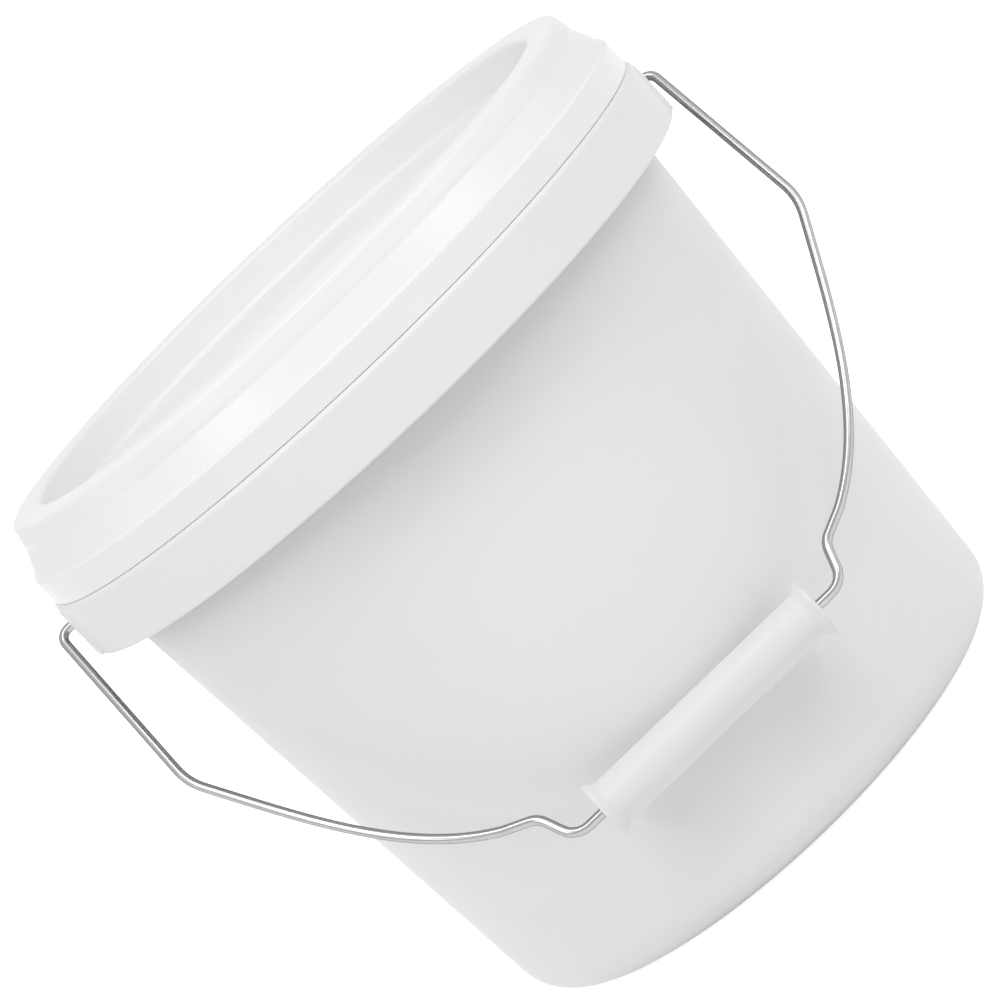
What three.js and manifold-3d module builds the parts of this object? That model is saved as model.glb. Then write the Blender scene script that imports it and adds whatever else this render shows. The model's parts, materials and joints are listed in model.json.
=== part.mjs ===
// A five litre plastic paint bucket with its lid on: tapered pail, press-on lid, wire bail and tube grip.
// Millimetres, +Z up. The origin is at the middle of the foot ring, and the grip hangs in front, towards -Y.

import * as THREE from 'three';
import { mergeVertices } from 'three/addons/utils/BufferGeometryUtils.js';
import Module from 'manifold-3d';

const wasm = await Module();
wasm.setup();

// Pail
const PAIL_HEIGHT = 206.9;
const BASE_RADIUS = 89.1;
const WALL_DRAFT = THREE.MathUtils.degToRad(4.08);
const WALL = 1.6;
const BASE_CORNER = 12.5;
const BASE_THICKNESS = 1.9;
const FOOT_WIDTH = 7.5;
const FOOT_HEIGHT = 2.4;

// Neck, rim bead and collar of the pail
const NECK_WALL = 2.4;
const BEAD_REACH = 1.7;
const BEAD_HEIGHT = 4.2;
const BEAD_EDGE = 0.8;
const LEDGE_DROP = 22;
const LEDGE_THICKNESS = 1.8;
const COLLAR_REACH = 10.7;
const COLLAR_DEPTH = 18.8;
const COLLAR_EDGE = 1.8;
const SKIRT_WALL = 1.6;
const SKIRT_EDGE = 0.7;
const RIB_COUNT = 24;
const RIB_THICKNESS = 1.4;
const RIB_DEPTH = 10;

// Ears that carry the wire
const PIVOT_DROP = 8.6;
const EAR_HALF_WIDTH = 21;
const EAR_PROUD = 0.5;
const EAR_MARGIN = 1.2;
const EAR_BOSS_RADIUS = 4.8;
const EAR_BOSS_LENGTH = 1.8;

// Lid
const LID_WALL = 1.6;
const LAND_WIDTH = 10.6;
const LAND_EDGE = 1.8;
const RECESS_DEPTH = 11.1;
const RECESS_DRAFT = 1.1;
const RECESS_CORNER = 1.5;
const BOSS_RADIUS = 28;
const BOSS_SLOPE = 6;
const BOSS_HEIGHT = 1.8;
const FLANGE_DEPTH = 15.5;
const CREASE_DEPTH = 5.6;
const CREASE_HEIGHT = 1.3;
const CREASE_WIDTH = 0.13;
const UPPER_FLARE = THREE.MathUtils.degToRad(14);
const STEP_LEDGE = 1.15;
const STEP_EDGE = 0.7;
const BAND_INSET = 0.95;
const HOOK_LEG_WALL = 1.4;
const HOOK_LEG_DEPTH = 7;
const HOOK_LEG_SPLIT = 3.6;
const SEAL_RIB_DEPTH = 3;
const SEAL_RIB_HEIGHT = 1.6;

// Wire bail
const WIRE_RADIUS = 1.4;
const BAIL_DROP = 159.4;
const ARM_STANDOFF = 4.9;
const ELBOW_DROP = 64;
const ELBOW_ANGLE = THREE.MathUtils.degToRad(28);
const ELBOW_BEND = 14;
const ELBOW_HANDLE = 36;
const KINK_ANGLE = THREE.MathUtils.degToRad(69);
const KINK_HANDLE = 33;
const KINK_RISE = 12.2;
const KINK_OUT = 4.4;
const WIRE_BEND = 3.2;
const HEAD_RADIUS = 2.3;
const HEAD_LENGTH = 1.8;
const HEAD_STANDOFF = 0.8;

// Tube grip
const GRIP_LENGTH = 80;
const GRIP_RADIUS = 7.2;
const GRIP_FLANGE_REACH = 1.8;
const GRIP_FLANGE_WIDTH = 1;
const GRIP_FLANGE_SLOPE = 2.4;
const GRIP_SPARE = 9.6;
const GRIP_EDGE = 0.6;

// Fits and facets
const GAP = 0.3;
const ROUND_STEPS = 72;
const WIRE_SIDES = 10;
const GRIP_SIDES = 32;
const HOLE_SIDES = 24;
const CORNER_STEPS = 6;
const CURVE_STEPS = 12;

// Places worked out from the sizes above
const draftTangent = Math.tan(WALL_DRAFT);
const wallRadius = (z) => BASE_RADIUS + z * draftTangent;
const ledgeZ = PAIL_HEIGHT - LEDGE_DROP;
const neckRadius = wallRadius(ledgeZ);
const neckBore = neckRadius - NECK_WALL;
const beadRadius = neckRadius + BEAD_REACH;
const collarRadius = neckRadius + COLLAR_REACH;
const skirtZ = ledgeZ - COLLAR_DEPTH;
const skirtBore = collarRadius - SKIRT_WALL;
const pivotZ = ledgeZ - PIVOT_DROP;
const earFace = collarRadius + EAR_PROUD;
const bossFace = skirtBore - EAR_BOSS_LENGTH;
const landZ = PAIL_HEIGHT + GAP + LID_WALL;
const landRadius = beadRadius + GAP + LID_WALL;
const armX = earFace + ARM_STANDOFF;
const seatCornerX = GRIP_LENGTH / 2 + GRIP_SPARE;

// The grip leans on the wall, so the bail's rest angle from straight down follows from its length.
const wallReach = wallRadius(pivotZ) + (GRIP_RADIUS + GAP) / Math.cos(WALL_DRAFT);
const restAngle = Math.asin((wallReach / BAIL_DROP) * Math.cos(WALL_DRAFT)) - WALL_DRAFT;

const white = (roughness) => new THREE.MeshStandardMaterial({ color: 0xf0f0ee, roughness, metalness: 0 });
const satinWhite = white(0.45);
const glossWhite = white(0.28);
const gripWhite = white(0.4);
const brightSteel = new THREE.MeshStandardMaterial({ color: 0xb9bbbd, roughness: 0.28, metalness: 1 });

const at = (x, y) => new THREE.Vector2(x, y);

// Points of an arc about a centre, from one angle to another in degrees.
function arc(centre, radius, from, to, steps = CORNER_STEPS) {
  const points = [];
  for (let i = 0; i <= steps; i += 1) {
    const angle = THREE.MathUtils.degToRad(from + ((to - from) * i) / steps);
    points.push(at(centre.x + radius * Math.cos(angle), centre.y + radius * Math.sin(angle)));
  }
  return points;
}

// A corner between two straight runs, rounded by an arc that touches both.
function bend(before, corner, after, radius, steps = CORNER_STEPS) {
  const inward = before.clone().sub(corner).normalize();
  const onward = after.clone().sub(corner).normalize();
  const half = Math.acos(THREE.MathUtils.clamp(inward.dot(onward), -1, 1)) / 2;
  const reach = radius / Math.sin(half);
  const centre = corner.clone().add(inward.clone().add(onward).normalize().multiplyScalar(reach));
  const start = corner.clone().addScaledVector(inward, radius / Math.tan(half)).sub(centre);
  const end = corner.clone().addScaledVector(onward, radius / Math.tan(half)).sub(centre);
  const turn = Math.atan2(start.x * end.y - start.y * end.x, start.dot(end));
  const points = [];
  for (let i = 0; i <= steps; i += 1) {
    points.push(centre.clone().add(start.clone().rotateAround(at(0, 0), (turn * i) / steps)));
  }
  return points;
}

function toSolid(geometry) {
  const bare = geometry.clone();
  bare.deleteAttribute('normal');
  bare.deleteAttribute('uv');
  const merged = mergeVertices(bare, 1e-4);
  return new wasm.Manifold(new wasm.Mesh({
    numProp: 3,
    vertProperties: new Float32Array(merged.attributes.position.array),
    triVerts: new Uint32Array(merged.index.array),
  }));
}

function toGeometry(solid) {
  const { vertProperties, triVerts } = solid.getMesh();
  const geometry = new THREE.BufferGeometry();
  geometry.setAttribute('position', new THREE.BufferAttribute(vertProperties, 3));
  geometry.setIndex(new THREE.BufferAttribute(triVerts, 1));
  geometry.computeVertexNormals();
  return geometry;
}

// Turns a profile of radius and height about the Z axis.
function turned(profile, steps = ROUND_STEPS) {
  return new THREE.LatheGeometry(profile, steps).rotateX(Math.PI / 2);
}

// A rod along X between two places.
function rodAlongX(fromX, toX, radius, z, sides) {
  const rod = new THREE.CylinderGeometry(radius, radius, Math.abs(toX - fromX), sides);
  return rod.rotateZ(Math.PI / 2).translate((fromX + toX) / 2, 0, z);
}

// The wall line of the pail, moved inwards by some thickness.
const wallPoint = (z, inset = 0) => at(wallRadius(z) - inset / Math.cos(WALL_DRAFT), z);

function pailOutside() {
  const ground = at(0, 0);
  const foot = at(wallRadius(0), 0);
  const footInner = wallRadius(0) - BASE_CORNER - FOOT_WIDTH;
  return [
    at(0, FOOT_HEIGHT),
    at(footInner - FOOT_HEIGHT, FOOT_HEIGHT),
    at(footInner, 0),
    ...bend(ground, foot, wallPoint(skirtZ), BASE_CORNER),
    wallPoint(ledgeZ - LEDGE_THICKNESS),
    at(skirtBore, ledgeZ - LEDGE_THICKNESS),
    at(skirtBore, skirtZ + SKIRT_EDGE),
    at(skirtBore + SKIRT_EDGE / 2, skirtZ),
    at(collarRadius - SKIRT_EDGE, skirtZ),
    at(collarRadius, skirtZ + SKIRT_EDGE),
    ...bend(at(collarRadius, skirtZ), at(collarRadius, ledgeZ), at(neckRadius, ledgeZ), COLLAR_EDGE, 4),
    at(neckRadius, ledgeZ),
  ];
}

function rimBead() {
  const beadFoot = PAIL_HEIGHT - BEAD_HEIGHT;
  return [
    at(neckRadius, beadFoot - BEAD_EDGE),
    at(beadRadius, beadFoot + BEAD_EDGE),
    at(beadRadius, PAIL_HEIGHT - BEAD_EDGE),
    at(beadRadius - BEAD_EDGE, PAIL_HEIGHT),
    at(neckBore + BEAD_EDGE, PAIL_HEIGHT),
    at(neckBore, PAIL_HEIGHT - BEAD_EDGE),
  ];
}

function pailInside() {
  const floorZ = FOOT_HEIGHT + BASE_THICKNESS;
  const floorEdge = wallPoint(floorZ, WALL);
  const neckFoot = (neckBore + WALL / Math.cos(WALL_DRAFT) - BASE_RADIUS) / draftTangent;
  const corner = bend(wallPoint(neckFoot, WALL), floorEdge, at(0, floorZ), BASE_CORNER - WALL);
  return [wallPoint(neckFoot, WALL), ...corner, at(0, floorZ)];
}

function skirtRib() {
  const innerX = neckRadius - NECK_WALL / 2;
  const outerX = skirtBore + SKIRT_WALL / 2;
  const top = ledgeZ - LEDGE_THICKNESS / 2;
  const low = ledgeZ - LEDGE_THICKNESS - RIB_DEPTH;
  const outline = new THREE.Shape([
    at(wallRadius(low) - WALL / 2, low),
    at(outerX, low + RIB_DEPTH / 3),
    at(outerX, top),
    at(innerX, top),
  ]);
  const rib = new THREE.ExtrudeGeometry(outline, { depth: RIB_THICKNESS, bevelEnabled: false });
  return rib.translate(0, 0, -RIB_THICKNESS / 2).rotateX(Math.PI / 2);
}

// One ear: a low pad that follows the outside of the skirt, and a round boss behind it, before the hole is cut.
function ear() {
  const high = ledgeZ - COLLAR_EDGE - EAR_MARGIN;
  const inner = skirtBore + SKIRT_WALL / 2;
  const ring = toSolid(turned([
    at(inner, skirtZ),
    at(earFace - SKIRT_EDGE, skirtZ),
    at(earFace, skirtZ + SKIRT_EDGE),
    at(earFace, high - EAR_PROUD),
    at(collarRadius, high),
    at(inner, high),
    at(inner, skirtZ),
  ]));
  const window = new THREE.BoxGeometry(2 * earFace, 2 * EAR_HALF_WIDTH, 2 * PAIL_HEIGHT);
  const pad = ring.intersect(toSolid(window.translate(earFace, 0, PAIL_HEIGHT)));
  const boss = rodAlongX(bossFace, inner, EAR_BOSS_RADIUS, pivotZ, HOLE_SIDES);
  return pad.add(toSolid(boss));
}

function makePail() {
  const profile = [...pailOutside(), ...rimBead(), ...pailInside()];
  let pail = toSolid(turned(profile));
  for (let i = 0; i < RIB_COUNT; i += 1) {
    const angle = ((i + 0.5) * 2 * Math.PI) / RIB_COUNT;
    pail = pail.add(toSolid(skirtRib().rotateZ(angle)));
  }
  const hole = toSolid(rodAlongX(bossFace - 1, earFace + 1, WIRE_RADIUS + GAP, pivotZ, HOLE_SIDES));
  for (const degrees of [0, 180]) {
    pail = pail.add(ear().rotate([0, 0, degrees])).subtract(hole.rotate([0, 0, degrees]));
  }
  return toGeometry(pail);
}

// The lid's upper side, from the axis out over the recess, the land and the flange to the band's lower edge.
function lidOutside() {
  const panelZ = landZ - RECESS_DEPTH;
  const recessTop = landRadius - LAND_WIDTH;
  const recessFoot = recessTop - RECESS_DRAFT;
  const bandRadius = collarRadius - BAND_INSET;
  const stepZ = landZ - FLANGE_DEPTH;
  const flangeFoot = bandRadius - STEP_LEDGE;
  const creaseRadius = landRadius + CREASE_DEPTH * Math.tan(UPPER_FLARE);
  const creaseZ = landZ - CREASE_DEPTH;
  return [
    at(0, panelZ + BOSS_HEIGHT),
    at(BOSS_RADIUS, panelZ + BOSS_HEIGHT),
    at(BOSS_RADIUS + BOSS_SLOPE, panelZ),
    ...bend(at(0, panelZ), at(recessFoot, panelZ), at(recessTop, landZ), RECESS_CORNER, 3),
    ...bend(at(recessFoot, panelZ), at(recessTop, landZ), at(landRadius, landZ), RECESS_CORNER, 4),
    ...bend(at(recessTop, landZ), at(landRadius, landZ), at(creaseRadius, creaseZ), LAND_EDGE, 4),
    at(creaseRadius, creaseZ),
    at(creaseRadius + CREASE_WIDTH, creaseZ - CREASE_HEIGHT),
    at(flangeFoot, stepZ + STEP_EDGE),
    at(bandRadius - STEP_EDGE, stepZ + STEP_EDGE / 2),
    at(bandRadius, stepZ - STEP_EDGE),
    at(bandRadius, ledgeZ + GAP),
  ];
}

// The lid's underside, from the band's lower edge back to the axis.
function lidInside() {
  const bandBore = collarRadius - BAND_INSET - LID_WALL;
  const stepZ = landZ - FLANGE_DEPTH;
  const underLand = landZ - LID_WALL;
  const legBore = beadRadius + GAP;
  const plugRadius = landRadius - LAND_WIDTH + LID_WALL;
  const panelUnder = landZ - RECESS_DEPTH - LID_WALL;
  const sealZ = underLand - SEAL_RIB_DEPTH;
  const flangeBore = legBore + HOOK_LEG_WALL + GAP;
  return [
    at(bandBore, ledgeZ + GAP),
    at(bandBore, stepZ - LID_WALL),
    at(bandBore - STEP_LEDGE, stepZ - LID_WALL / 2),
    at(flangeBore, underLand - HOOK_LEG_SPLIT),
    at(legBore + HOOK_LEG_WALL, underLand - HOOK_LEG_SPLIT),
    at(legBore + HOOK_LEG_WALL, underLand - HOOK_LEG_DEPTH),
    at(legBore, underLand - HOOK_LEG_DEPTH),
    at(legBore, underLand),
    at(plugRadius, underLand),
    at(plugRadius, sealZ + SEAL_RIB_HEIGHT),
    at(neckBore - GAP, sealZ),
    at(plugRadius - RECESS_DRAFT / 2, sealZ - SEAL_RIB_HEIGHT),
    at(plugRadius - RECESS_DRAFT, panelUnder),
    at(0, panelUnder),
  ];
}

function makeLid() {
  const profile = [...lidOutside(), ...lidInside()].reverse();
  return toGeometry(toSolid(turned(profile)));
}

// A curve through given stations, so that a sweep puts its rings at the stations themselves.
class StationCurve extends THREE.Curve {
  constructor(stations) {
    super();
    this.stations = stations;
  }

  getPoint(t, target = new THREE.Vector3()) {
    const place = t * (this.stations.length - 1);
    const index = Math.min(Math.floor(place), this.stations.length - 2);
    return target.lerpVectors(this.stations[index], this.stations[index + 1], place - index);
  }

  getPointAt(t, target) {
    return this.getPoint(t, target);
  }

  getTangentAt(t, target = new THREE.Vector3()) {
    const last = this.stations.length - 1;
    const index = Math.round(t * last);
    const before = this.stations[Math.max(index - 1, 0)];
    const after = this.stations[Math.min(index + 1, last)];
    return target.subVectors(after, before).normalize();
  }
}

// Half of the wire's route as seen from the front: across from the middle, and down from the pivots.
function halfRoute() {
  const hookEnd = at(bossFace - HEAD_STANDOFF - HEAD_LENGTH / 2, 0);
  const shoulder = at(armX, 0);
  const elbow = at(armX, ELBOW_DROP);
  const kink = at(seatCornerX + KINK_OUT, BAIL_DROP - KINK_RISE);
  const seatCorner = at(seatCornerX, BAIL_DROP);
  const afterElbow = at(-Math.sin(ELBOW_ANGLE), Math.cos(ELBOW_ANGLE)).multiplyScalar(ELBOW_HANDLE).add(elbow);
  const beforeKink = at(Math.sin(KINK_ANGLE), -Math.cos(KINK_ANGLE)).multiplyScalar(KINK_HANDLE).add(kink);
  const sweep = new THREE.CubicBezierCurve(elbow, afterElbow, beforeKink, kink).getPoints(CURVE_STEPS);
  return [
    hookEnd,
    ...bend(hookEnd, shoulder, elbow, WIRE_BEND),
    ...bend(shoulder, elbow, afterElbow, ELBOW_BEND, 4),
    ...sweep.slice(1, -1),
    ...bend(sweep[CURVE_STEPS - 1], kink, seatCorner, WIRE_BEND, 4),
    ...bend(kink, seatCorner, at(0, BAIL_DROP), WIRE_BEND, 4),
  ];
}

function makeBail() {
  const half = halfRoute();
  const right = half.map((p) => new THREE.Vector3(p.x, 0, -p.y));
  const left = half.map((p) => new THREE.Vector3(-p.x, 0, -p.y)).reverse();
  const path = new StationCurve([...right, ...left]);
  const section = new THREE.Shape(arc(at(0, 0), WIRE_RADIUS, 0, 360, WIRE_SIDES).slice(0, -1));
  const steps = path.stations.length - 1;
  let wire = toSolid(new THREE.ExtrudeGeometry(section, { steps, extrudePath: path, curveSegments: 1 }));
  const headX = bossFace - HEAD_STANDOFF;
  const head = toSolid(rodAlongX(headX - HEAD_LENGTH, headX, HEAD_RADIUS, 0, HOLE_SIDES));
  wire = wire.add(head).add(head.rotate([0, 0, 180]));
  return toGeometry(wire);
}

// The grip is turned about the wire's seat, which runs along X.
function makeGrip() {
  const bore = WIRE_RADIUS + GAP;
  const end = GRIP_LENGTH / 2;
  const flange = GRIP_RADIUS + GRIP_FLANGE_REACH;
  const lowHalf = [
    at(bore, -end),
    at(flange - GRIP_EDGE, -end),
    at(flange, GRIP_EDGE - end),
    at(flange, GRIP_FLANGE_WIDTH - end),
    at(GRIP_RADIUS, GRIP_FLANGE_WIDTH + GRIP_FLANGE_SLOPE - end),
  ];
  const highHalf = lowHalf.map((p) => at(p.x, -p.y)).reverse();
  const profile = [...lowHalf, ...highHalf, lowHalf[0]];
  return toGeometry(toSolid(new THREE.LatheGeometry(profile, GRIP_SIDES).rotateZ(Math.PI / 2)));
}

function piece(name, geometry, material) {
  const mesh = new THREE.Mesh(geometry, material);
  mesh.name = name;
  return mesh;
}

const bucket = new THREE.Group();
bucket.add(piece('pail', makePail(), satinWhite));
bucket.add(piece('lid', makeLid(), glossWhite));

const bail = new THREE.Group();
bail.position.z = pivotZ;
bail.rotation.x = -restAngle;
bail.add(piece('bail', makeBail(), brightSteel));
const grip = piece('grip', makeGrip(), gripWhite);
grip.position.z = -BAIL_DROP;
bail.add(grip);
bucket.add(bail);

export default bucket;
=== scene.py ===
# %% [markdown]
# # A white paint bucket, surface by surface
#
# The object is a five litre plastic pail with its lid pressed on, a bent steel wire bail and a tube grip.
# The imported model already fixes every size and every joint. This script gives each moulding a fine, softly
# rounded skin in the same place, and gives each skin the finish of the real plastic or metal.
# Sizes are written in millimetres, and one factor turns them into Blender's metres.

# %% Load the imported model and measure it
import json

import bmesh
import bpy
import numpy as np
from mathutils import Matrix, Vector


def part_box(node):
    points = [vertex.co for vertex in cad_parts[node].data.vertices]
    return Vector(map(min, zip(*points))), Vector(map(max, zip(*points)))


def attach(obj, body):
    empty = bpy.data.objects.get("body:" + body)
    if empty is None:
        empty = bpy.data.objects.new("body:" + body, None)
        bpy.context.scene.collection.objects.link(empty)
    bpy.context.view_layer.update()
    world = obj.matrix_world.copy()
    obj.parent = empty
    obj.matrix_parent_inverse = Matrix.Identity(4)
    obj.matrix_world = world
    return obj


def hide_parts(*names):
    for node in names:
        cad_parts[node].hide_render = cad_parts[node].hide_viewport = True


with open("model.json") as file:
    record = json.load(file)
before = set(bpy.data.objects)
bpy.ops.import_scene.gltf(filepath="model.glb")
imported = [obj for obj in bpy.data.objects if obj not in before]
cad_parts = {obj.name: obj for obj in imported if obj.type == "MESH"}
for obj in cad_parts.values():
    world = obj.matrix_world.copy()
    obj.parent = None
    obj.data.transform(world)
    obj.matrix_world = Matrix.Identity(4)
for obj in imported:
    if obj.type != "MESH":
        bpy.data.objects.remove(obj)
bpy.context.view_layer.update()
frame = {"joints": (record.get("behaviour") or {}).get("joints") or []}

MM = 0.001
joints = {joint["name"]: joint for joint in frame["joints"]}
pivot = np.array(joints["bail_swing"]["pos_m"]) / MM
seat = np.array(joints["grip_spin"]["pos_m"]) / MM
pail_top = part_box("pail")[1][2] / MM
land_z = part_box("lid")[1][2] / MM
print("pivots at", pivot.round(2), "grip's seat at", seat.round(2))
print("pail's rim at", round(pail_top, 2), "and lid's land at", round(land_z, 2))

# %% [markdown]
# ## The camera
#
# The picture is a long-lens product view: the camera stands about a metre and a quarter away, looks down by
# some ten degrees, and is rolled, so the bucket leans to the left. Setting the lens from a focal length in
# pixels keeps the perspective of the real view. A roll is a turn about the line of sight, so it is easiest
# to turn the camera's own up and right directions before they go into its matrix.

# %% Set up the camera
PICTURE_PIXELS = 1002
FOCAL_PIXELS = 4389
CAMERA_DISTANCE = 1269.8
CAMERA_ELEVATION = np.radians(9.63)
CAMERA_YAW = np.radians(1.2)
CAMERA_ROLL = np.radians(43.6)
AIM_HEIGHT = 116.0


def direction(azimuth, elevation):
    """The direction from the bucket to a place. Azimuth runs from the front, -Y, to the right, +X."""
    level = np.cos(elevation)
    return Vector((level * np.sin(azimuth), -level * np.cos(azimuth), np.sin(elevation)))


def make_camera():
    """Looks at the pail's axis. Up and right are turned about the line of sight by the roll angle."""
    outward = direction(-CAMERA_YAW, CAMERA_ELEVATION)
    right = (-outward).cross(Vector((0, 0, 1))).normalized()
    up = right.cross(-outward)
    rolled_up = up * np.cos(CAMERA_ROLL) + right * np.sin(CAMERA_ROLL)
    rolled_right = right * np.cos(CAMERA_ROLL) - up * np.sin(CAMERA_ROLL)
    data = bpy.data.cameras.new("camera")
    data.sensor_fit = "HORIZONTAL"
    data.lens = FOCAL_PIXELS / PICTURE_PIXELS * data.sensor_width
    made = bpy.data.objects.new("camera", data)
    bpy.context.scene.collection.objects.link(made)
    turn = Matrix((rolled_right, rolled_up, outward)).transposed().to_4x4()
    place = Vector((0, 0, AIM_HEIGHT)) + outward * CAMERA_DISTANCE
    made.matrix_world = Matrix.Translation(place * MM) @ turn
    bpy.context.scene.camera = made
    return made


camera = make_camera()
print("camera at", [round(v, 3) for v in camera.matrix_world.translation], "lens", round(camera.data.lens, 1))

# %% [markdown]
# ## Shader maths written as sums
#
# A procedural finish is mostly arithmetic on textures. Wiring Math nodes by hand hides that arithmetic, so a
# small class wraps one output of a node and lets `+`, `-` and `*` add the Math nodes. Everything else goes
# through one method, which sets a node's settings first and then its inputs.

# %% Wrap node outputs so that they can be added and multiplied


class Signal:
    """One output of a shader node, or what a sum of such outputs gives."""

    def __init__(self, finish, socket):
        self.finish = finish
        self.socket = socket

    def __add__(self, other):
        return self.finish.maths("ADD", self, other)

    def __sub__(self, other):
        return self.finish.maths("SUBTRACT", self, other)

    def __mul__(self, other):
        return self.finish.maths("MULTIPLY", self, other)

    __radd__ = __add__
    __rmul__ = __mul__


class Finish:
    """The node tree of a material or of the world, while it is put together."""

    def __init__(self, owner):
        owner.use_nodes = True
        self.owner = owner
        self.tree = owner.node_tree
        self.tree.nodes.clear()

    def node(self, kind, inputs=None, output=0, **settings):
        """Adds a node: first its settings, then the values or links that its sockets take."""
        made = self.tree.nodes.new(kind)
        for key, value in settings.items():
            setattr(made, key, value)
        for key, value in (inputs or {}).items():
            socket = [s for s in made.inputs if s.enabled and key in (s.identifier, s.name)][0]
            if isinstance(value, Signal):
                self.tree.links.new(value.socket, socket)
            else:
                socket.default_value = value
        usable = [s for s in made.outputs if s.enabled and output in (0, s.name)]
        return Signal(self, usable[0]) if usable else None

    def maths(self, operation, left, right):
        """A Math node on two values, either of which may be a plain number."""
        return self.node("ShaderNodeMath", {"Value": left, "Value_001": right}, operation=operation)

    def place(self, stretch=(1, 1, 1), source="Object"):
        """The point on the piece in metres, or on its own map, stretched as the pattern needs."""
        here = self.node("ShaderNodeTexCoord", output=source)
        return self.node("ShaderNodeMapping", {"Vector": here, "Scale": stretch})

    def noise(self, size, detail, where=None):
        """Soft noise between 0 and 1, whose blotches are about size millimetres across."""
        inputs = {"Vector": where or self.place(), "Scale": 1 / (size * MM), "Detail": detail}
        return self.node("ShaderNodeTexNoise", inputs)

    def between(self, signal, low, high, at_low, at_high):
        """Carries the range low to high over to at_low to at_high, and holds it there."""
        inputs = {"Value": signal, "From Min": low, "From Max": high, "To Min": at_low, "To Max": at_high}
        return self.node("ShaderNodeMapRange", inputs)

    def blend(self, share, first, second):
        """Mixes two greys by a share between 0 and 1."""
        inputs = {"Factor_Float": share, "A_Color": (*[first] * 3, 1), "B_Color": (*[second] * 3, 1)}
        return self.node("ShaderNodeMix", inputs, data_type="RGBA")

    def bump(self, height, depth, normal=None):
        """Turns a height between 0 and 1 into dents and rises up to depth millimetres deep."""
        inputs = {"Height": height, "Strength": 1.0, "Distance": depth * MM}
        if normal:
            inputs["Normal"] = normal
        return self.node("ShaderNodeBump", inputs)

    def end(self, shader):
        """Links the finished shader to the tree's output."""
        in_world = isinstance(self.owner, bpy.types.World)
        kind = "ShaderNodeOutputWorld" if in_world else "ShaderNodeOutputMaterial"
        self.node(kind, {"Surface": shader})
        return self.owner


print("signals can be added, subtracted and multiplied")

# %% [markdown]
# ## Stage, world and light
#
# The picture is a studio shot on white. Its highlights tell where the lights stood: on a curved rim a
# highlight lies where the surface faces halfway between camera and light, so two upright bright strips on
# the rim mean two tall softboxes, 46 degrees left and 53 degrees right. The collar's shadow is darkest in
# the middle and ends some 20 mm below it, so a third lamp stands in front, 60 degrees up. Two weak lamps at
# the sides and a pale world fill the shadows.
# The floor and the world are white only for the camera and in reflections, so no extra light is needed for
# a white ground, and the floor still takes the bucket's shadow.

# %% Light the studio
WORLD_LIGHT = 0.53
FLOOR_SIDE = 8000.0
FLOOR_DROP = 0.1
FLOOR_GREY = 0.94
FLOOR_GLOW = 0.75
FLOOR_GRAIN = 3
FLOOR_SPREAD = 0.01
LIGHT_TARGET = Vector((0, 0, 130.0))
LIGHT_DISTANCE = 1500.0
LIGHTS = {
    "softbox_left": {"azimuth": -46, "elevation": 39, "size": (500, 860), "watts": 4.3},
    "softbox_right": {"azimuth": 53, "elevation": 39, "size": (500, 860), "watts": 4.3},
    "softbox_above": {"azimuth": 0, "elevation": 60, "size": (700, 420), "watts": 4.4},
    "fill_left": {"azimuth": -88, "elevation": 12, "size": (500, 900), "watts": 0.9},
    "fill_right": {"azimuth": 88, "elevation": 12, "size": (500, 900), "watts": 0.9},
}


def seen_ray(finish):
    """1 for rays that show the background: straight from the camera, or by way of gloss or glass."""
    kinds = ("Camera", "Glossy", "Transmission")
    rays = [finish.node("ShaderNodeLightPath", output=f"Is {kind} Ray") for kind in kinds]
    return finish.maths("MAXIMUM", finish.maths("MAXIMUM", rays[0], rays[1]), rays[2])


def make_world():
    """White where it is seen, and a plain grey light everywhere else."""
    finish = Finish(bpy.data.worlds.new("studio"))
    lit = finish.node("ShaderNodeBackground", {"Color": (1, 1, 1, 1), "Strength": WORLD_LIGHT})
    white = finish.node("ShaderNodeBackground", {"Color": (1, 1, 1, 1), "Strength": 1.0})
    both = {"Fac": seen_ray(finish), "Shader": lit, "Shader_001": white}
    return finish.end(finish.node("ShaderNodeMixShader", both))


def make_floor():
    """A flat square just under the foot ring. Where it is seen it glows, so that only shadows darken it."""
    half = FLOOR_SIDE / 2 * MM
    low = -FLOOR_DROP * MM
    corners = [(-half, -half, low), (half, -half, low), (half, half, low), (-half, half, low)]
    mesh = bpy.data.meshes.new("floor")
    mesh.from_pydata(corners, [], [(0, 1, 2, 3)])
    floor = bpy.data.objects.new("floor", mesh)
    bpy.context.scene.collection.objects.link(floor)
    finish = Finish(bpy.data.materials.new("floor paint"))
    grain = finish.blend(finish.noise(FLOOR_GRAIN, 4), FLOOR_GREY - FLOOR_SPREAD, FLOOR_GREY + FLOOR_SPREAD)
    paint = finish.node("ShaderNodeBsdfDiffuse", {"Color": grain})
    glow = finish.node("ShaderNodeEmission", {"Color": (1, 1, 1, 1), "Strength": FLOOR_GLOW})
    bright = finish.node("ShaderNodeAddShader", {"Shader": paint, "Shader_001": glow})
    both = {"Fac": seen_ray(finish), "Shader": paint, "Shader_001": bright}
    mesh.materials.append(finish.end(finish.node("ShaderNodeMixShader", both)))


def softbox(name, azimuth, elevation, size, watts):
    """An area light that faces the bucket. For the same watts, a larger one has softer highlights."""
    data = bpy.data.lights.new(name, "AREA")
    data.shape = "RECTANGLE"
    data.size, data.size_y = (side * MM for side in size)
    data.energy = watts
    lamp = bpy.data.objects.new(name, data)
    outward = direction(np.radians(azimuth), np.radians(elevation))
    lamp.location = (LIGHT_TARGET + outward * LIGHT_DISTANCE) * MM
    lamp.rotation_euler = outward.to_track_quat("Z", "Y").to_euler()
    bpy.context.scene.collection.objects.link(lamp)
    return lamp


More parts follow.
